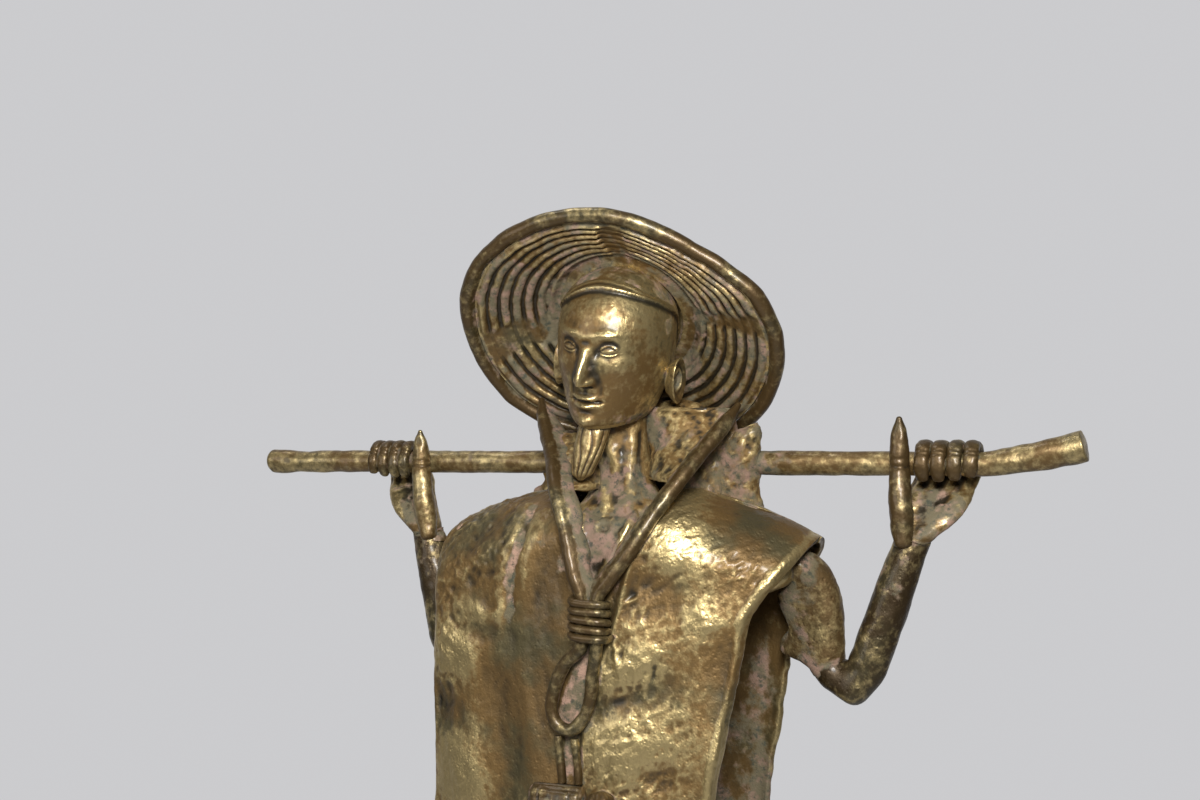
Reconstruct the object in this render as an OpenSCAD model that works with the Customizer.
// Cast brass figurine of a standing herder: wide hat tipped back, long open tunic, and a stick
// held across the shoulders. It faces -Y, and its own left is +X. The origin is the centre of the
// base plate's underside. Most forms are a skin over rings, and the tunic is one over a grid.

/* [Base plate] */
// Width of the base plate
base_w = 72; // [60:1:90]
// Depth of the base plate
base_d = 64; // [56:1:80]
// Thickness of the base plate
base_t = 4; // [3:0.5:8]

/* [Legs and feet] */
// Length of a foot
foot_l = 38; // [30:1:44]
// Width of a foot
foot_w = 13; // [10:0.5:15]
// Height of the ankle above the base plate
foot_h = 10; // [8:0.5:14]
// Distance between the ankles
stance = 20; // [17:0.5:26]
// Ankle to knee
shin_l = 60; // [50:1:70]
// Knee to hip
thigh_l = 62; // [50:1:72]
// Diameter of an ankle
ankle_d = 7; // [6:0.5:9]
// Diameter of a calf
calf_d = 11; // [8:0.5:13]
// Diameter of a thigh where it meets the hips
thigh_d = 14; // [11:0.5:15]

/* [Torso and neck] */
// Hips to the base of the neck
torso_h = 104.5; // [95:0.5:115]
// Width of the hips
hip_w = 30; // [29:0.5:36]
// Width of the waist
waist_w = 25; // [20:0.5:30]
// Width of the chest
chest_w = 40; // [34:0.5:46]
// Front to back of the chest
chest_d = 21; // [18:0.5:23]
// Width over the shoulder ends, where the arms join
shoulder_w = 66; // [60:0.5:70]
// Diameter of the neck
neck_d = 12.4; // [10:0.2:12.8]
// Length of the neck
neck_l = 19; // [16:0.5:24]

/* [Head] */
// Diameter of the round back of the head
head_d = 26; // [24:0.5:30]
// Middle of the head down to the underside of the jaw
jaw_drop = 16; // [14:0.5:19]
// Forward lean of the head, in degrees
head_lean = 15; // [5:1:20]
// Sideways roll of the head, in degrees
head_roll = 6; // [0:1:10]
// Turn of the head towards the right shoulder, in degrees
head_yaw = 6; // [0:1:10]
// Height of the nose off the face
nose_out = 3.4; // [2:0.1:4]
// Length of the beard
beard_l = 11; // [7:0.5:14]
// Width of the beard at the chin
beard_w = 6.4; // [5:0.1:7]
// Height of an ear
ear_h = 9.5; // [7:0.5:11]

/* [Hat] */
// Backward tilt of the hat, in degrees
hat_tilt = 55; // [48:1:60]
// How far the brim slopes down from the hat's own level, in degrees
brim_droop = 20; // [14:1:24]
// Height of the brim's opening above the middle of the head
hat_seat_h = 6; // [5:0.2:7]
// Flat collar round the opening
collar_w = 2.6; // [2:0.1:4]
// Slope length of the brim, collar to edge, before the outline's shares
brim_l = 20; // [16:0.5:22]
// Thickness of the brim
brim_t = 1.6; // [1.2:0.1:2]
// Diameter of the rolled edge
rim_d = 3; // [2.2:0.1:3.4]
// Ridges round the underside of the brim
ridge_n = 7; // [4:1:8]
// Height of a ridge
ridge_h = 0.6; // [0.3:0.05:0.9]
// Height of the pointed top over the brim
crown_h = 15; // [11:0.5:20]
// Diameter of the knob on the top
knob_d = 5; // [4:0.5:6]

/* [Tunic] */
// Width over the shoulder tips
tunic_w = 80; // [76:1:90]
// Thickness of the tunic's sheets
tunic_t = 1.6; // [1.2:0.1:2]
// Shoulder tip down to the hem
tunic_l = 168; // [150:1:176]
// Rise of the shoulder line from the tip to the middle
shoulder_rise = 9; // [6:0.5:11]
// How far the rounded shoulder tips fall below the straight shoulder line
tip_fall = 3.5; // [0:0.5:4]
// Height of the sheets' bend over the shoulders
bend_h = 12; // [10:0.5:14]
// Front face, ahead of the shoulder ridge
front_hang = 18; // [17:0.5:22]
// Back face, behind the shoulder ridge
back_hang = 12; // [11.5:0.5:16]
// Width of the neck opening at the shoulder ridge
neck_open_w = 25; // [22:0.5:28]
// Width of the slit down the middle of the front
slit_w = 2; // [1.4:0.1:3]
// Height of the folds in the sheets
fold_h = 1.1; // [0.4:0.1:1.6]

/* [Stick] */
// Diameter of the stick
stick_d = 4.8; // [4:0.1:5.4]
// Diameter of its thick end
stick_end_d = 5.9; // [5:0.1:6.4]
// Length from the middle of the figure to the thick end
stick_left_l = 87; // [80:1:100]
// Length from the middle of the figure to the thin end
stick_right_l = 90; // [80:1:100]
// Distance of the stick's axis behind the figure's middle plane
stick_y = 9; // [8.5:0.1:10]
// Rise of the thick end over the straight part
stick_kick = 3.4; // [0:0.2:6]

/* [Arms] */
// Diameter of an arm
arm_d = 7; // [6:0.1:7.2]
// Left shoulder's end to the left elbow
left_elbow_x = 10.5; // [9:0.5:13]
// Right shoulder's end to the right elbow
right_elbow_x = 6; // [5.5:0.5:9]
// Left shoulder's end to the left wrist
left_wrist_x = 23; // [21:0.5:25]
// Right shoulder's end to the right wrist
right_wrist_x = 15; // [14:0.5:18]
// Radius of the bend at an elbow
elbow_r = 4.2; // [4.2:0.1:5]
// Drop of an elbow's bend below the shoulder
elbow_drop = 22; // [19:0.5:24]
// Drop of a wrist below the stick
wrist_drop = 14.5; // [13:0.5:17]

/* [Hands] */
// Middle of the figure to the left hand
left_hand_x = 62; // [60:0.5:66]
// Middle of the figure to the right hand
right_hand_x = 58; // [57:0.5:62]
// Width of a finger of the left hand
left_finger_w = 3; // [2.4:0.1:3.1]
// Width of a finger of the right hand
right_finger_w = 2.4; // [2:0.1:2.8]
// Thickness of a finger over the stick
finger_t = 2.1; // [1.6:0.1:2.6]
// Thickness of a palm behind the stick
palm_t = 3; // [2.6:0.1:4]
// How far round the stick a finger reaches, in degrees
finger_wrap = 225; // [180:5:240]
// Diameter of a thumb at its thickest
thumb_d = 4.2; // [3.4:0.1:4.6]
// Left thumb's tip above the stick's axis
left_thumb_up = 8.6; // [5:0.2:10]
// Right thumb's tip above the stick's axis
right_thumb_up = 6.8; // [5:0.2:10]
// Middle of a hand to its thumb
thumb_off = 8.6; // [8.4:0.1:9.2]

/* [Cords and pouches] */
// Diameter of the hat cords
cord_d = 2.9; // [2.4:0.1:3]
// Diameter of the binding's wire
wire_d = 1.1; // [0.8:0.05:1.15]
// Rise of one turn of the binding
wire_pitch = 1.65; // [1.6:0.05:1.9]
// Full turns of the binding, before its last half turn
wire_turns = 4; // [3:1:5]
// Diameter of the two strings that the pouch hangs from
string_d = 1.7; // [1.2:0.1:2]
// Width of the pouch at its bottom
pouch_w = 15; // [12:0.5:16]
// Height of the pouch
pouch_h = 17; // [13:0.5:20]
// Depth of the pouch
pouch_d = 6; // [4:0.5:8]
// Diameter of the small round pouch
bead_d = 6; // [4:0.5:7]

/* [Hidden] */
brass = "#7d6a3c";
gold = "#a58b4a";
dark = "#4e4429";
LEFT = 1;
RIGHT = -1;
FRONT = -1;
BACK = 1;
// Clearance between pieces that lie against each other
seam = 0.15;
limb_sides = 14;
small_sides = 8;

// Levels up the figure
ankle_z = base_t + foot_h;
knee_z = ankle_z + shin_l;
hip_z = knee_z + thigh_l;
neck_z = hip_z + torso_h;
neck_rise = 2.5;
shoulder_z = neck_z - neck_rise;
hem_z = shoulder_z - tunic_l;
// The ridge of the shoulders, behind the figure's middle plane
ridge_y = 3;
stick_over_neck = 8;
stick_z = neck_z + stick_over_neck;
stick_slope = 0.023;

// Turns about the X axis and about the Y axis
function turn_z(p, a) = [p.x * cos(a) - p.y * sin(a), p.x * sin(a) + p.y * cos(a), p.z];
function turn_x(p, a) = [p.x, p.y * cos(a) - p.z * sin(a), p.y * sin(a) + p.z * cos(a)];
function turn_y(p, a) = [p.x * cos(a) + p.z * sin(a), p.y, p.z * cos(a) - p.x * sin(a)];
function unit(v) = v / norm(v);
function mix(a, b, t) = a + (b - a) * t;
function smooth(t) = let(c = max(0, min(1, t))) c * c * (3 - 2 * c);
function bell(x, w) = exp(-x * x / (w * w));
// Cosine and sine squared up towards a rounded box as p grows past 2
function squared(c, p) = sign(c) * pow(abs(c), 2 / p);

// One ring: half widths a along u and b along v
function ring(c, u, v, a, b, n, p = 2) =
    [for (i = [0:n - 1]) let(q = 360 * (i + 0.5) / n) c + u * a * squared(cos(q), p) + v * b * squared(sin(q), p)];
function flat_ring(c, a, b, n = limb_sides, p = 2) = ring(c, [1, 0, 0], [0, 1, 0], a, b, n, p);

// Rings of radii r along a path, with a reference direction that no part of the path follows.
// Wide stretches them towards that direction.
function along(path, i) = unit(path[min(i + 1, len(path) - 1)] - path[max(i - 1, 0)]);
function tube(path, r, n, ref, first, last, wide = 1) = [
    for (i = [0:len(path) - 1])
        let(t = i == 0 && !is_undef(first) ? first : i == len(path) - 1 && !is_undef(last) ? last : along(path, i),
            u = unit(cross(ref, t)))
        ring(path[i], u, cross(t, u), is_list(r) ? r[i] : r, wide * (is_list(r) ? r[i] : r), n)
];

// Solid over a stack of rings, closed with a fan of triangles at each end, or closed on itself
module skin(rings, closed = false) {
    n = len(rings[0]);
    m = len(rings);
    function at(i, j) = (i % m) * n + j % n;
    polyhedron(
        points = [for (r = rings, p = r) p],
        faces = concat(
            [for (i = [0:m - (closed ? 1 : 2)], j = [0:n - 1], k = [0, 1])
                k == 0 ? [at(i, j), at(i + 1, j), at(i + 1, j + 1)] : [at(i, j), at(i + 1, j + 1), at(i, j + 1)]],
            closed ? [] : [for (j = [1:n - 2], k = [0, 1]) k == 0 ? [0, j, j + 1] : [at(m - 1, 0), at(m - 1, j + 1), at(m - 1, j)]]
        )
    );
}

// Point on a curve that starts at a, bends towards b and ends at c
function curve(a, b, c, t) = a * (1 - t) * (1 - t) + b * 2 * t * (1 - t) + c * t * t;

// Base plate, a rounded box seen from above
plate_sides = 48;
plate_power = 3.4;

module base_plate() {
    color(dark)
        linear_extrude(height = base_t)
            polygon([for (i = [0:plate_sides - 1])
                let(q = 360 * i / plate_sides)
                [base_w / 2 * squared(cos(q), plate_power), base_d / 2 * squared(sin(q), plate_power)]]);
}

// Foot: height, length and width of each ring, and its place between heel and toes
foot_shares = [[0, 1, 1, 1], [0.28, 1, 1, 1], [0.55, 0.78, 0.9, 0.86], [0.8, 0.42, 0.72, 0.36]];
foot_back_share = 0.3;

module foot(side) {
    reach = foot_l * (0.5 - foot_back_share);
    color(brass)
        skin(concat(
            [for (s = foot_shares)
                flat_ring([side * stance / 2, -reach * s[3], base_t + foot_h * s[0]],
                    foot_w / 2 * s[2], foot_l / 2 * s[1], limb_sides, 2.6)],
            [flat_ring([side * stance / 2, 0, ankle_z], ankle_d / 2, ankle_d / 2)]
        ));
}

// Leg: heights as shares of the shin, then of the thigh
shin_shares = [0.3, 0.6, 0.9];
knee_d = (ankle_d + thigh_d) / 2;

module leg(side) {
    top_x = thigh_d / 2 + seam;
    function at(z, d) = flat_ring([side * mix(stance / 2, top_x, (z - ankle_z) / (hip_z - ankle_z)), 0, z], d / 2, d / 2);
    color(brass)
        skin([
            at(ankle_z, ankle_d),
            at(ankle_z + shin_l * shin_shares[0], mix(ankle_d, calf_d, 0.5)),
            at(ankle_z + shin_l * shin_shares[1], calf_d),
            at(ankle_z + shin_l * shin_shares[2], knee_d - ankle_d / 10),
            at(knee_z, knee_d),
            at(mix(knee_z, hip_z, 0.5), mix(knee_d, thigh_d, 0.6)),
            at(hip_z, thigh_d)
        ]);
}

// Torso: a stack of rings from the hips to the base of the neck. The shoulder ring lies
// against the underside of the tunic.
function ridge_z(x) =
    let(t = abs(x) / (tunic_w / 2)) shoulder_z + shoulder_rise * (1 - t) - tip_fall * pow(t, 5);
shoulder_end_t = 7;
shoulder_end_d = 12;
shoulder_top_x = shoulder_w / 2 - shoulder_end_t / 2;
// Half depth of the shoulder's top, and how far the tunic's bend falls away over it
shoulder_top_b = 2;
shoulder_fall = bend_h * (1 - sqrt(1 - pow(shoulder_top_b / (back_hang - tunic_t), 2)));
shoulder_top_z = ridge_z(shoulder_top_x) - tunic_t - shoulder_fall - seam;
shoulder_end_z = shoulder_top_z - shoulder_end_t * 0.6;
arm_z = shoulder_end_z - shoulder_end_t / 2;
torso_sides = 20;

// Breast: fills the neck opening up to the front sheet. Drop below the neck as a share of the
// torso, then place and half sizes as shares of the chest's width and depth.
breast_shares = [
    [0.235, -0.025, -0.19, 0.175, 0.26], [0.148, -0.05, -0.31, 0.21, 0.285], [0.072, -0.04, -0.295, 0.26, 0.295],
    [0.024, -0.025, -0.19, 0.25, 0.305], [0, 0, 0, 0.19, 0.285]
];

module torso() {
    color(brass)
        skin([for (s = breast_shares)
            flat_ring([chest_w * s[1], chest_d * s[2], neck_z - seam - torso_h * s[0]],
                chest_w * s[3], chest_d * s[4], torso_sides, 2.2)]);
    color(brass)
        skin([
            flat_ring([0, 0, hip_z], hip_w / 2, chest_d * 0.44, torso_sides),
            flat_ring([0, 0, hip_z + torso_h * 0.14], hip_w / 2, chest_d * 0.45, torso_sides),
            flat_ring([0, 0, hip_z + torso_h * 0.33], waist_w / 2, chest_d * 0.4, torso_sides),
            flat_ring([0, 0, hip_z + torso_h * 0.57], mix(waist_w, chest_w, 0.45) / 2, chest_d * 0.46, torso_sides),
            flat_ring([0, 0, hip_z + torso_h * 0.75], chest_w / 2, chest_d / 2, torso_sides),
            flat_ring([0, 0, mix(hip_z + torso_h * 0.75, arm_z - shoulder_end_t / 2, 0.6)],
                mix(chest_w, shoulder_w, 0.25) / 2, chest_d / 2, torso_sides, 2.4),
            flat_ring([0, ridge_y / 3, arm_z - shoulder_end_t / 2], shoulder_w / 2, shoulder_end_d * 0.6, torso_sides, 4),
            flat_ring([0, ridge_y / 2, shoulder_end_z], shoulder_w / 2, shoulder_end_d / 2, torso_sides, 4),
            flat_ring([0, ridge_y, shoulder_top_z], shoulder_top_x, shoulder_top_b, torso_sides, 3),
            flat_ring([0, 0, neck_z], neck_d / 2 + tunic_t, neck_d / 2, torso_sides)
        ]);
}

// The head's own frame: a ball at its middle, the jaw's flat underside below it
jaw_x = -3;
jaw_y = 1;
jaw_mid = [jaw_x, jaw_y, neck_z + neck_l];
function head_turn(p) = turn_y(turn_x(turn_z(p, -head_yaw), head_lean), head_roll);
head_mid = jaw_mid + head_turn([0, 0, jaw_drop]);
function head_pt(p) = head_mid + head_turn(p);
head_r = head_d / 2;

// Mass of metal behind the jaw's left corner, seated on the stick
nape_w = neck_d * 1.12;
nape_d = neck_d * 0.72;
nape_h = 9.6;
nape_x = neck_d * 0.64;
nape_y = neck_d * 0.48;

module neck() {
    color(brass)
        translate([nape_x, nape_y, stick_at(nape_x).z + stick_r + 2 * seam + nape_h / 2])
            scale([nape_w, nape_d, nape_h] / 2)
                sphere(r = 1, $fn = torso_sides);
    color(brass)
        skin([for (t = [0:0.25:1])
            let(v = unit(mix([0, 1, 0], head_turn([0, 1, 0]), t)),
                u = unit(mix([1, 0, 0], head_turn([1, 0, 0]), t)),
                c = mix([0, 0, neck_z], head_pt([0, 0, -jaw_drop]), t),
                r = neck_d / 2 * (1 - 0.14 * sin(180 * t)))
            ring(c - (t == 1 ? head_turn([0, 0, seam]) : [0, 0, 0]), u, v, r, r, limb_sides)]);
}

// Head: width, front and back of the rings below the middle, as shares of the ball's radius,
// at shares of the drop to the jaw
face_shares = [
    [0, 0.88, 1.03, 0.99], [0.2, 0.87, 1.03, 0.95], [0.4, 0.84, 1.03, 0.86],
    [0.6, 0.77, 1.03, 0.66], [0.8, 0.67, 1.04, 0.59], [0.93, 0.59, 1.03, 0.56], [1, 0.52, 0.98, 0.55]
];
head_sides = 32;
head_rows = 10;
head_crowd = 26;
side_share = 0.88;
function face_col(d, k) = lookup(d, [for (s = face_shares) [s[0], s[k]]]);
// The face's forms, each a bell in both directions: height as a share of the nose's, place and
// half width in degrees from the middle, place and half width as shares of the drop to the jaw.
// They are the brow, the hollow of the eye, the upper lip, the lower lip and the chin.
feature_shares = [
    [0.2, 22, 14, -0.16, 0.09], [-0.34, 23, 9, 0, 0.09], [0.26, 0, 15, 0.6, 0.04],
    [0.26, 0, 15, 0.72, 0.04], [0.2, 0, 12, 0.94, 0.08]
];
nose_span = 8;
function nose(q, d) = bell(q, nose_span) * smooth((d + 0.1) / 0.45) * (1 - smooth((d - 0.36) / 0.1));
// What stands off the face, at angle q from its middle and share d of the drop to the jaw
function relief(q, d) =
    nose_out * (nose(q, d) + [for (f = feature_shares) f[0]]
        * [for (f = feature_shares) bell(abs(q) - f[1], f[2]) * bell(d - f[3], f[4])]);

module head() {
    // Angle from the front, with the points crowded there
    function turn(j) = let(q = 360 * (j + 0.5) / head_sides - 180) q - head_crowd * sin(q);
    function spot(j, z, w, f, b) =
        let(q = turn(j), d = -z / jaw_drop, out = relief(q, d), depth = cos(q) > 0 ? f : b)
        head_pt([w * sin(q), -(depth + out) * cos(q), z]);
    below = [for (i = [head_rows:-1:0]) let(d = i / head_rows)
        [for (j = [0:head_sides - 1])
            spot(j, -jaw_drop * d, head_r * face_col(d, 1), head_r * face_col(d, 2), head_r * face_col(d, 3))]];
    above = [for (a = [12:12:84]) let(r = head_r * cos(a), t = smooth(a / 30))
        [for (j = [0:head_sides - 1])
            spot(j, head_r * sin(a), r * mix(side_share, 1, t / 3), r * mix(1.03, 1, t), r * mix(0.99, 1, t))]];
    color(brass) skin(concat(below, above));
}

// Ear: a shallow dish standing on the side of the head
ear_t = ear_h * 0.26;
ear_back = ear_h * 0.05;
ear_share = 0.5;

module ear(side) {
    x = head_r * face_col(ear_share - ear_h / 2 / jaw_drop, 1) + seam;
    function oval(out, k) = [for (i = [0:limb_sides - 1]) let(q = side * 360 * i / limb_sides)
        head_pt([side * (x + out), ear_back + ear_h * 0.3 * k * cos(q), ear_h * k / 2 * sin(q) - jaw_drop * ear_share])];
    color(brass)
        skin([oval(0, 0.6), oval(ear_t * 0.7, 0.95), oval(ear_t, 0.95), oval(ear_t, 0.75), oval(ear_t * 0.5, 0.45)]);
}

module beard() {
    top = [0, -head_r * 0.72, -jaw_drop - seam];
    color(gold)
        skin([for (s = [[0, 1], [0.15, 0.98], [0.45, 0.93], [0.75, 0.76], [0.92, 0.52], [1, 0.2]])
            let(c = head_pt(top) - beard_l * s[0] * [0.22, 0.16, 1],
                v = unit(mix(head_turn([0, 1, 0]), [0, 1, 0], s[0])),
                u = unit(mix(head_turn([1, 0, 0]), [1, 0, 0], s[0])))
            ring(c, -u, v, beard_w / 2 * s[1], beard_w * 0.4 * s[1], limb_sides)]);
}

// The hat's own frame: the axis leans back from the middle of the head. A ring of the brim is
// at angle q, counted from the hat's left, with 90 at the front.
function hat_pt(p) = head_mid + turn_x(p, -hat_tilt);
hat_steps = 60;
// Slope length round the brim, at every 15 degrees
outline_shares = [
    1, 0.93, 0.75, 0.62, 0.59, 0.62, 0.66, 0.7, 0.76, 0.85, 0.95, 1,
    1.01, 1.01, 1, 0.94, 0.86, 0.82, 0.82, 0.85, 0.91, 0.97, 0.99, 1.01
];
seat_r = sqrt(pow(head_r + seam, 2) - pow(hat_seat_h, 2));
collar_r = seat_r + collar_w;
function outline(q) =
    let(n = len(outline_shares), f = q / 360 * n, i = floor(f), t = f - i, s = (1 - cos(180 * t)) / 2)
    brim_l * mix(outline_shares[i % n], outline_shares[(i + 1) % n], mix(t, s, 0.4));
// Point of the brim's underside, s along the slope and lift off it
function brim_pt(q, s, lift = 0) =
    let(r = collar_r + s * cos(brim_droop) + lift * sin(brim_droop))
    hat_pt([r * cos(q), -r * sin(q), hat_seat_h - s * sin(brim_droop) + lift * cos(brim_droop)]);
function collar_pt(q, lift = 0) = hat_pt([seat_r * cos(q), -seat_r * sin(q), hat_seat_h + lift]);

module hat_brim() {
    steps = 2 * ridge_n;
    color(brass)
        skin([for (k = [0:hat_steps - 1])
            let(q = 360 * k / hat_steps, l = outline(q) - rim_d + rim_d / 2 * (1 - cos(180 / small_sides)))
            concat(
                [collar_pt(q)],
                [for (i = [0:steps]) brim_pt(q, l * i / steps, i % 2 == 1 ? -ridge_h : 0)],
                [brim_pt(q, l, brim_t), brim_pt(q, l / 2, brim_t), brim_pt(q, 0, brim_t)],
                [collar_pt(q, brim_t)]
            )], closed = true);
}

module hat_rim() {
    color(dark)
        skin([for (k = [0:hat_steps - 1])
            let(q = 360 * k / hat_steps)
            [for (j = [0:small_sides - 1])
                let(a = 360 * (j + 0.5) / small_sides)
                brim_pt(q, outline(q) - rim_d / 2 + seam + rim_d / 2 * cos(a), brim_t / 2 + rim_d / 2 * sin(a))]],
            closed = true);
}

// Pointed top of the hat, hollowed to the back of the head
crown_z = hat_seat_h + brim_t;
crown_steps = 6;
crown_sides = 48;

module hat_crown() {
    r = head_r + seam;
    low = asin(crown_z / r);
    top_r = knob_d / 2;
    color(brass)
        translate(head_mid)
            rotate([-hat_tilt, 0, 0])
                rotate_extrude($fn = crown_sides)
                    polygon(concat(
                        [for (a = [low:(90 - low) / 8:90 - 0.01]) [r * cos(a), r * sin(a)]],
                        [[0, r], [0, crown_z + crown_h + top_r], [top_r * 0.7, crown_z + crown_h + top_r * 0.7],
                         [top_r, crown_z + crown_h], [top_r * 0.7, crown_z + crown_h - top_r * 0.7]],
                        [for (i = [crown_steps:-1:1], k = [0, 1])
                            let(t = (i - k * 0.35) / (crown_steps + 0.5))
                            [mix(collar_r, top_r * 0.7, t) + (k == 0 ? 0 : ridge_h), mix(crown_z, crown_z + crown_h - top_r, t)]],
                        [[collar_r, crown_z]]
                    ));
}

// Tunic. Share of the height below the shoulder tip, and the edge's place as a share of half
// the width.
left_front_shares = [
    [0, 1], [0.07, 0.87], [0.13, 0.71], [0.19, 0.66], [0.27, 0.605], [0.34, 0.55], [0.5, 0.54], [1, 0.68]
];
right_front_shares = [[0, 1], [0.1, 1.005], [0.2, 1.02], [1, 0.98]];
left_back_shares = [[0, 1], [0.1, 0.84], [0.17, 0.745], [0.27, 0.71], [0.34, 0.65], [0.5, 0.625], [1, 0.7]];
right_back_shares = [[0, 1], [0.15, 0.9], [0.3, 0.85], [1, 0.85]];
front_flare_share = 0.58;
back_flare_share = 0.75;
slit_x = -3;
bend_shares = [0, 0.08, 0.3, 0.62, 1];
tunic_rows = 16;
side_cells = 10;
fold_w = 17;

function edge_x(side, hand, z) =
    let(t = max(0, (shoulder_z - z) / tunic_l),
        shares = side == FRONT ? (hand == LEFT ? left_front_shares : right_front_shares)
            : (hand == LEFT ? left_back_shares : right_back_shares))
    hand * tunic_w / 2 * lookup(t, shares);
// How far the outer face stands off the shoulder ridge, once past the bend
function hang(side, x, z) =
    let(t = abs(x) / (tunic_w / 2), low = smooth((shoulder_z - bend_h - z) / tunic_l * 1.6))
    (side == FRONT ? front_hang : back_hang) * (1 - (1 - (side == FRONT ? front_flare_share : back_flare_share)) * t * t)
    + fold_h * low * sin(360 * x / fold_w);
function bend(s) = sqrt(1 - pow(1 - min(1, s), 2));
function sheet_y(side, x, z, inset = 0) =
    ridge_y + side * (hang(side, x, z) - inset) * bend((ridge_z(x) - z) / bend_h);
// Height of row j over the place x
function row_z(j, x) =
    j < len(bend_shares) ? ridge_z(x) - bend_h * bend_shares[j]
    : mix(ridge_z(x) - bend_h, hem_z, (j - len(bend_shares) + 1) / tunic_rows);
rows = len(bend_shares) - 1 + tunic_rows;
// Rows that the neck opening takes, and its half width at row j
function open_rows(side) = side == FRONT ? len(bend_shares) : len(bend_shares) - 2;
function open_half(side, j) = mix(slit_w / 2, neck_open_w / 2, pow(max(0, 1 - j / open_rows(side)), 0.6));
columns = 2 * side_cells + 1;

// Point i across and j down, on the outer face or set in by the thickness
function sheet_pt(side, i, j, inset) =
    let(mid = slit_x * min(1, j / open_rows(side)),
        hand = i <= side_cells ? RIGHT : LEFT,
        t = hand == RIGHT ? i / side_cells : (columns - i) / side_cells,
        z0 = row_z(j, hand * tunic_w / 2),
        x = mix(edge_x(side, hand, z0), mid + hand * open_half(side, j), t),
        z = row_z(j, x),
        s = min(1, (ridge_z(x) - z) / bend_h),
        roll = side == FRONT && hand == LEFT && t == 0 ? tunic_t / 3 : 0)
    [x, sheet_y(side, x, z, inset == 0 ? -roll : tunic_t + roll), z - (inset == 0 ? 0 : tunic_t * (1 - s))];

module sheet(side) {
    n = columns + 1;
    size = n * (rows + 1);
    function id(i, j) = j * n + i;
    function on(i, j) = i >= 0 && j >= 0 && i < columns && j < rows && !(i == side_cells && j < open_rows(side));
    // The outer face's corners, clockwise from outside on the front sheet
    function quad(i, j) = [id(i, j), id(i + 1, j), id(i + 1, j + 1), id(i, j + 1)];
    steps = [[0, -1], [1, 0], [0, 1], [-1, 0]];
    function turned(f) = side == FRONT ? f : [f[2], f[1], f[0]];
    cells = [for (j = [0:rows - 1], i = [0:columns - 1]) if (on(i, j)) [i, j]];
    faces = concat(
        [for (c = cells) let(q = quad(c[0], c[1])) each [[q[0], q[1], q[2]], [q[0], q[2], q[3]]]],
        [for (c = cells) let(q = quad(c[0], c[1]) + [size, size, size, size]) each [[q[0], q[2], q[1]], [q[0], q[3], q[2]]]],
        [for (c = cells, k = [0:3]) if (!on(c[0] + steps[k][0], c[1] + steps[k][1]))
            let(q = quad(c[0], c[1]), a = q[k], b = q[(k + 1) % 4])
            each [[b, a, a + size], [b, a + size, b + size]]]
    );
    polyhedron(
        points = [for (f = [0, 1], j = [0:rows], i = [0:columns]) sheet_pt(side, i, j, f)],
        faces = [for (f = faces) turned(f)]
    );
}

module tunic_front() { color(gold) sheet(FRONT); }
module tunic_back() { color(brass) sheet(BACK); }

// Stick: level over most of its length, with a slight slope, then kicked up past the left hand
stick_r = stick_d / 2;
kick_x = left_hand_x + 2 * left_finger_w;
function kick(x) = max(0, (x - kick_x) / (stick_left_l - kick_x));
function stick_at(x) = [x, stick_y, stick_z + stick_slope * x + stick_kick * pow(kick(x), 1.4)];

module stick() {
    stops = concat(
        [for (t = [-1, -0.985, -0.96, -0.93, -0.6, -0.3, 0]) t * stick_right_l],
        [for (t = [0.4, 0.8]) t * kick_x],
        [for (t = [0:0.25:1]) mix(kick_x, stick_left_l, t)]
    );
    radii = [for (x = stops)
        x < 0 ? stick_r * lookup(-x / stick_right_l, [[0.93, 1], [0.96, 1.06], [0.985, 1], [1, 0.6]])
        : mix(stick_r, stick_end_d / 2, smooth(kick(x)))];
    color(dark)
        skin(tube([for (x = stops) stick_at(x)], radii, 12, [0, 1, 0]));
}

// Lumps of metal that join the stick to the tops of the shoulders. The right one ends under the
// stick. The left one closes round it and reaches up towards the hat's rim.
lump_w = 8;
lump_d = 4;
lump_x = 20;
left_lump_w = 11.4;
left_lump_d = 8;
// Height over the stick's axis, place and half sizes of the left lump's rings, as shares of its
// width across and of its depth front to back
left_lump_shares = [[0, -0.05, -0.05, 0.5, 0.53], [0.4, 0, -0.2, 0.46, 0.38], [0.76, 0.03, -0.34, 0.4, 0.15]];
left_lump_slant = 0.4;

function lump_floor(p) =
    ridge_z(p.x) - bend_h * (1 - sqrt(1 - pow((p.y - ridge_y) / hang(BACK, p.x, shoulder_z), 2))) + 2 * seam;

module right_lump() {
    base = flat_ring([-lump_x, stick_y, 0], lump_w / 2, lump_d / 2, small_sides);
    top_z = stick_at(-lump_x).z - stick_r - seam;
    color(brass)
        skin([
            [for (p = base) [p.x, p.y, lump_floor(p)]],
            flat_ring([-lump_x, stick_y, top_z], lump_w * 0.4, lump_d * 0.3, small_sides)
        ]);
}

module left_lump() {
    w = left_lump_w;
    d = left_lump_d;
    base = flat_ring([lump_x - w * 0.1, stick_y - d * 0.1, 0], w / 2, d * 0.42, limb_sides);
    rings = [for (s = left_lump_shares)
        flat_ring([lump_x + w * s[1], stick_y + d * s[2], stick_at(lump_x).z + d * s[0]], w * s[3], d * s[4], limb_sides)];
    top = [for (p = rings[2]) p + [0, 0, (p.x - lump_x) * left_lump_slant]];
    color(brass)
        difference() {
            skin([[for (p = base) [p.x, p.y, lump_floor(p) + 2 * seam]], rings[0], rings[1], top]);
            skin(tube([stick_at(lump_x - w), stick_at(lump_x + w)], [stick_r + seam, stick_r + seam], 12, [0, 1, 0]));
        }
}

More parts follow.
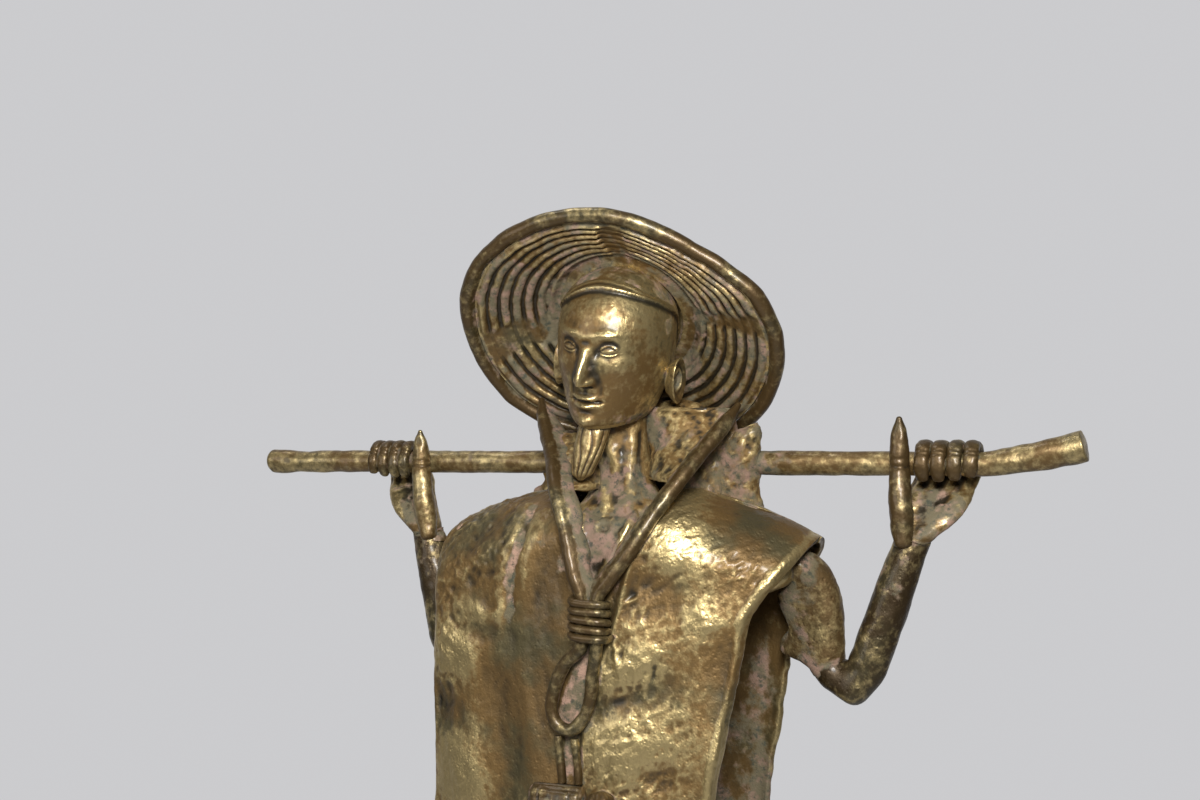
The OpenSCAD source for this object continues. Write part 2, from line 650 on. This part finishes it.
// Arms. Each is worked out on the left, then mirrored for the right.
module handed(side) {
    mirror([side == RIGHT ? 1 : 0, 0, 0]) children();
}
function elbow_x(side) = shoulder_w / 2 + (side == LEFT ? left_elbow_x : right_elbow_x);
function wrist_x(side) = shoulder_w / 2 + (side == LEFT ? left_wrist_x : right_wrist_x);
function hand_x(side) = side == LEFT ? left_hand_x : right_hand_x;
function grip_z(side) = stick_at(side * hand_x(side)).z;
wrist_y = 5;
elbow_y = 4.5;
wrist_a = arm_d * 0.5;
wrist_b = arm_d * 0.38;
shoulder_pt = [shoulder_w / 2 + seam, ridge_y / 2, arm_z];
function elbow_mid(side) = [elbow_x(side), elbow_y, arm_z - elbow_drop + elbow_r];
function wrist_pt(side) = [wrist_x(side), wrist_y, grip_z(side) - wrist_drop];
// Angles on the elbow's bend where the upper arm ends and the forearm leaves it
upper_q = 200;
function fore_q(side) = 360 - atan((wrist_x(side) - elbow_x(side) - elbow_r) / (wrist_pt(side).z - elbow_mid(side).z));
function bend_pt(side, q) = elbow_mid(side) + elbow_r * [cos(q), 0, sin(q)];

module upper_arm(side) {
    last = bend_pt(side, upper_q);
    path = [for (t = [0:0.125:1]) curve(shoulder_pt, [shoulder_pt.x + arm_d * 1.05, ridge_y, arm_z], last, t)];
    color(brass)
        handed(side)
            skin(tube(path, [for (t = [0:0.125:1]) arm_d / 2 * mix(0.92, 1, sin(180 * t))], limb_sides, [0, 1, 0],
                [1, 0, 0], [-sin(upper_q), 0, cos(upper_q)]));
}

// Radius along the forearm, as shares of the arm's diameter
forearm_shares = [[0, 0.46], [0.25, 0.54], [0.5, 0.56], [0.75, 0.53], [1, 0.49]];

module forearm(side) {
    q1 = fore_q(side);
    turn = [for (q = [upper_q:(q1 - upper_q) / 6:q1]) bend_pt(side, q)];
    rise = [for (t = [0.2:0.2:1]) mix(bend_pt(side, q1), wrist_pt(side), t)];
    path = concat(turn, rise);
    n = len(path);
    rings = tube(path, [for (i = [0:n - 1]) arm_d * lookup(i / n, forearm_shares)], limb_sides,
        [0, 1, 0], [-sin(upper_q), 0, cos(upper_q)]);
    color(brass)
        handed(side)
            skin(concat([for (i = [0:n - 2]) rings[i]],
                [flat_ring(wrist_pt(side) - [0, 0, seam], wrist_a, wrist_b)]));
}

// Palm: shares of the way up, of the way back behind the stick, and of the change in size
palm_shares = [[0, 0, 0], [0.25, 0.2, 0.4], [0.55, 0.56, 0.85], [0.8, 0.94, 1], [1, 1, 1]];
palm_back_y = stick_y + stick_r + seam + palm_t / 2;
function finger_w(side) = side == LEFT ? left_finger_w : right_finger_w;

module palm(side) {
    w = wrist_pt(side);
    color(brass)
        handed(side)
            skin([for (s = palm_shares)
                flat_ring([mix(w.x, hand_x(side), s[0]), mix(w.y, palm_back_y, s[1]), mix(w.z, grip_z(side) - seam, s[0])],
                    mix(wrist_a, 2 * finger_w(side) + seam, s[2]), mix(wrist_b, palm_t / 2, s[2]), limb_sides,
                    mix(2, 2.6, s[2]))]);
}

module thumb(side) {
    w = wrist_pt(side);
    x = hand_x(side) - thumb_off;
    y = stick_y - stick_r - thumb_d / 2 - seam;
    z = grip_z(side);
    up = side == LEFT ? left_thumb_up : right_thumb_up;
    root = [w.x - wrist_a * 0.5, w.y - wrist_b - thumb_d * 0.3, w.z + thumb_d * 0.6];
    path = [
        root, mix(root, [x, y, z], 0.25), mix(root, [x, y, z], 0.5) - [0, thumb_d * 0.12, 0],
        mix(root, [x, y, z], 0.75) - [0, thumb_d * 0.08, 0], [x, y, z], [x, y, z + up * 0.4],
        [x, y - thumb_d * 0.05, z + up * 0.75], [x, y - thumb_d * 0.1, z + up]
    ];
    radius_shares = [0.55, 0.86, 1, 1, 0.94, 0.84, 0.6, 0.12];
    color(gold)
        handed(side)
            skin(tube(path, radius_shares * thumb_d / 2, 10, [0, 1, 0]));
}

// Fingers curl over the stick from behind. The index is number 0, next to the thumb.
finger_rings = 11;

module finger(side, k) {
    w = finger_w(side);
    x = hand_x(side) + (k - 1.5) * (w + seam / 2);
    r = stick_r + finger_t / 2 + seam;
    path = [for (i = [0:finger_rings]) let(q = finger_wrap * i / finger_rings)
        stick_at(side * x) - [side * x - x, 0, 0] + r * [0, cos(q), sin(q)]];
    radii = [for (i = [0:finger_rings]) finger_t / 2 * (i == finger_rings ? 0.45 : i == finger_rings - 1 ? 0.85 : 1)];
    color(gold)
        handed(side)
            skin(tube(path, radii, small_sides, [1, 0, 0], [0, 0, 1], wide = w / finger_t));
}

// Cords. The routes are places in millimetres, with heights counted from the base of the neck.
left_cord_route = [
    [21.5, 3.5, 20.3], [19.6, -1, 15.9], [16.8, -6, 10.9], [13.7, -11, 5.4],
    [9.7, -14.6, -1.2], [6.1, -16.8, -7.4], [2.8, -17.8, -12.2]
];
right_cord_route = [
    [-22.1, 6, 20.6], [-18.4, 0, 14.7], [-14.2, -6.5, 9.5], [-11, -12.4, 4.5],
    [-8, -15.4, -1.8], [-6, -17, -7.3], [-4.6, -17.9, -12]
];
loop_route = [
    [-7.2, -16.8, -29.8], [-9.4, -16.7, -35.2], [-9.8, -16.7, -39.2], [-8.4, -16.7, -41.7],
    [-5.8, -16.7, -42.3], [-3.3, -16.7, -40], [-1.8, -16.7, -36.2], [-1.1, -16.8, -30.3]
];
left_string_route = [[-5.2, -16.1, -44.1], [-4.7, -16.2, -48.5], [-4.3, -16.3, -52.9]];
right_string_route = [[-8.8, -16.1, -43.8], [-8.2, -16.2, -48.5], [-7.8, -16.3, -52.9]];
function placed(route) = [for (p = route) p + [0, 0, neck_z]];

cord_r = cord_d / 2;
bind_x = -1.4;
bind_drop = 16.1;
bind_top_z = neck_z - bind_drop;
bind_h = wire_pitch * (wire_turns + 0.5);
bind_r = cord_r + seam + wire_d / 2;
bind_y = sheet_y(FRONT, bind_x, bind_top_z) - bind_r - wire_d / 2 - 2 * seam;
function bind_side(side, z) = [bind_x + side * (cord_r + seam / 2), bind_y, z];

module hat_cord(side) {
    route = placed(side == LEFT ? left_cord_route : right_cord_route);
    color(dark)
        skin(tube(concat(route, [bind_side(side, bind_top_z), bind_side(side, bind_top_z - bind_h)]), cord_r, small_sides,
            [side, 0.3, 0], undef, [0, 0, -1]));
}

module cord_loop() {
    low = bind_top_z - bind_h - seam;
    path = concat([bind_side(RIGHT, low), bind_side(RIGHT, low - cord_r)], placed(loop_route),
        [bind_side(LEFT, low - cord_r), bind_side(LEFT, low)]);
    color(dark) skin(tube(path, cord_r * 0.92, small_sides, [0, 1, 0], [0, 0, -1], [0, 0, 1]));
}

// Binding: one wire wound round both cords. It comes off the tunic straight, and ends on it.
wire_sides = 6;
turn_rings = 24;
function wire_pt(a) =
    let(spread = cord_r * max(-1, min(1, 2.2 * cos(a))))
    [bind_x + spread + bind_r * cos(a), bind_y + bind_r * sin(a), bind_top_z - wire_d / 2 - wire_pitch * (a - 180) / 360];
function wire_end(p) = [p.x, sheet_y(FRONT, p.x, p.z) - seam, p.z];
wire_start_q = 180;
wire_path = [for (i = [0:turn_rings * (wire_turns + 0.5)]) wire_pt(wire_start_q + 360 * i / turn_rings)];
wire_route = concat([wire_end(wire_path[0])], wire_path, [wire_end(wire_path[len(wire_path) - 1])]);
wire_gap = min([for (i = [0:len(wire_route) - 1], j = [i + turn_rings / 2:len(wire_route) - 1])
    norm(wire_route[i] - wire_route[min(j, len(wire_route) - 1)])]) - wire_d;
echo(binding_wire_least_gap_mm = wire_gap);

module cord_binding() {
    color(dark) skin(tube(wire_route, wire_d / 2, wire_sides, [0, 0.02, 1], [0, -1, 0], [0, 1, 0]));
}

module pouch_string(side) {
    route = placed(side == LEFT ? left_string_route : right_string_route);
    color(dark) skin(tube(route, string_d / 2, small_sides, [0, 1, 0]));
}

pouch_drop = 53.1;
pouch_top_z = neck_z - pouch_drop;
pouch_x = -8.2;

module pouch() {
    color(dark)
        skin([for (s = [[0, 0.9, 0.6], [0.15, 1, 1], [0.5, 0.9, 0.95], [0.86, 0.8, 0.72], [1, 0.74, 0.5]])
            let(z = pouch_top_z - pouch_h * (1 - s[0]), d = pouch_d * s[2])
            flat_ring([pouch_x, sheet_y(FRONT, pouch_x, z) - fold_h - 2 * seam - d / 2, z],
                pouch_w / 2 * s[1], d / 2, limb_sides, 4)]);
}

module small_pouch() {
    x = pouch_x + pouch_w * 0.4 + bead_d / 2 + seam;
    z = pouch_top_z - bead_d / 2;
    color(dark)
        translate([x, sheet_y(FRONT, x, z) - bead_d / 2 - 2 * seam, z])
            sphere(d = bead_d, $fn = 24);
}

base_plate();
foot(LEFT);  // left_foot
foot(RIGHT);  // right_foot
leg(LEFT);  // left_leg
leg(RIGHT);  // right_leg
torso();
neck();
head();
ear(LEFT);  // left_ear
ear(RIGHT);  // right_ear
beard();
hat_brim();
hat_rim();
hat_crown();
tunic_front();
tunic_back();
left_lump();  // left_shoulder_lump
right_lump();  // right_shoulder_lump
stick();
upper_arm(LEFT);  // left_upper_arm
forearm(LEFT);  // left_forearm
palm(LEFT);  // left_palm
thumb(LEFT);  // left_thumb
finger(LEFT, 0);  // left_index_finger
finger(LEFT, 1);  // left_middle_finger
finger(LEFT, 2);  // left_ring_finger
finger(LEFT, 3);  // left_little_finger
upper_arm(RIGHT);  // right_upper_arm
forearm(RIGHT);  // right_forearm
palm(RIGHT);  // right_palm
thumb(RIGHT);  // right_thumb
finger(RIGHT, 0);  // right_index_finger
finger(RIGHT, 1);  // right_middle_finger
finger(RIGHT, 2);  // right_ring_finger
finger(RIGHT, 3);  // right_little_finger
hat_cord(LEFT);  // left_hat_cord
hat_cord(RIGHT);  // right_hat_cord
cord_binding();
cord_loop();
pouch_string(LEFT);  // left_pouch_string
pouch_string(RIGHT);  // right_pouch_string
pouch();
small_pouch();
